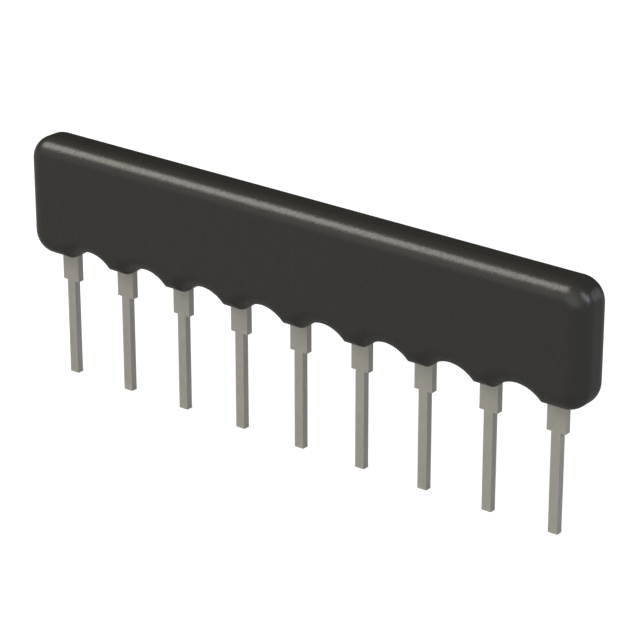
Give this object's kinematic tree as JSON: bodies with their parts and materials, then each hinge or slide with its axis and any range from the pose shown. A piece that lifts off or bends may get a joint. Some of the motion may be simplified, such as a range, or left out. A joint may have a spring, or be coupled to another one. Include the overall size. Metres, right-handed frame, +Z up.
{
  "type": "resistor network",
  "caption": "Single-in-line resistor network: a dark dipped body with a scalloped lower edge over a row of flat tinned leads.",
  "frame": {"origin": "centre of the lead row on the seating plane, at mid-thickness of the leads: the undersides of the lead shoulders are at Z = 0", "axes": "+X along the row from lead 1 to the last lead, -Y out of the front face of the body, +Z up from the board; the pins point along -Z"},
  "size_m": [0.0228, 0.0016, 0.0088],
  "materials": {
    "coating": "satin",
    "tinned_lead": "matte",
    "ceramic": "matte",
    "conductor": "satin",
    "resistor_film": "satin",
    "overglaze": "gloss",
    "solder": "satin"
  },
  "bodies": {
    "root": {"coating": "coating", "common_conductor": "conductor", "lead_1": "tinned_lead", "lead_2": "tinned_lead", "lead_3": "tinned_lead", "lead_4": "tinned_lead", "lead_5": "tinned_lead", "lead_6": "tinned_lead", "lead_7": "tinned_lead", "lead_8": "tinned_lead", "lead_9": "tinned_lead", "lead_pad_2": "conductor", "lead_pad_3": "conductor", "lead_pad_4": "conductor", "lead_pad_5": "conductor", "lead_pad_6": "conductor", "lead_pad_7": "conductor", "lead_pad_8": "conductor", "lead_pad_9": "conductor", "overglaze": "overglaze", "resistor_1": "resistor_film", "resistor_2": "resistor_film", "resistor_3": "resistor_film", "resistor_4": "resistor_film", "resistor_5": "resistor_film", "resistor_6": "resistor_film", "resistor_7": "resistor_film", "resistor_8": "resistor_film", "solder_1": "solder", "solder_2": "solder", "solder_3": "solder", "solder_4": "solder", "solder_5": "solder", "solder_6": "solder", "solder_7": "solder", "solder_8": "solder", "solder_9": "solder", "substrate": "ceramic"}
  },
  "joints": []
}
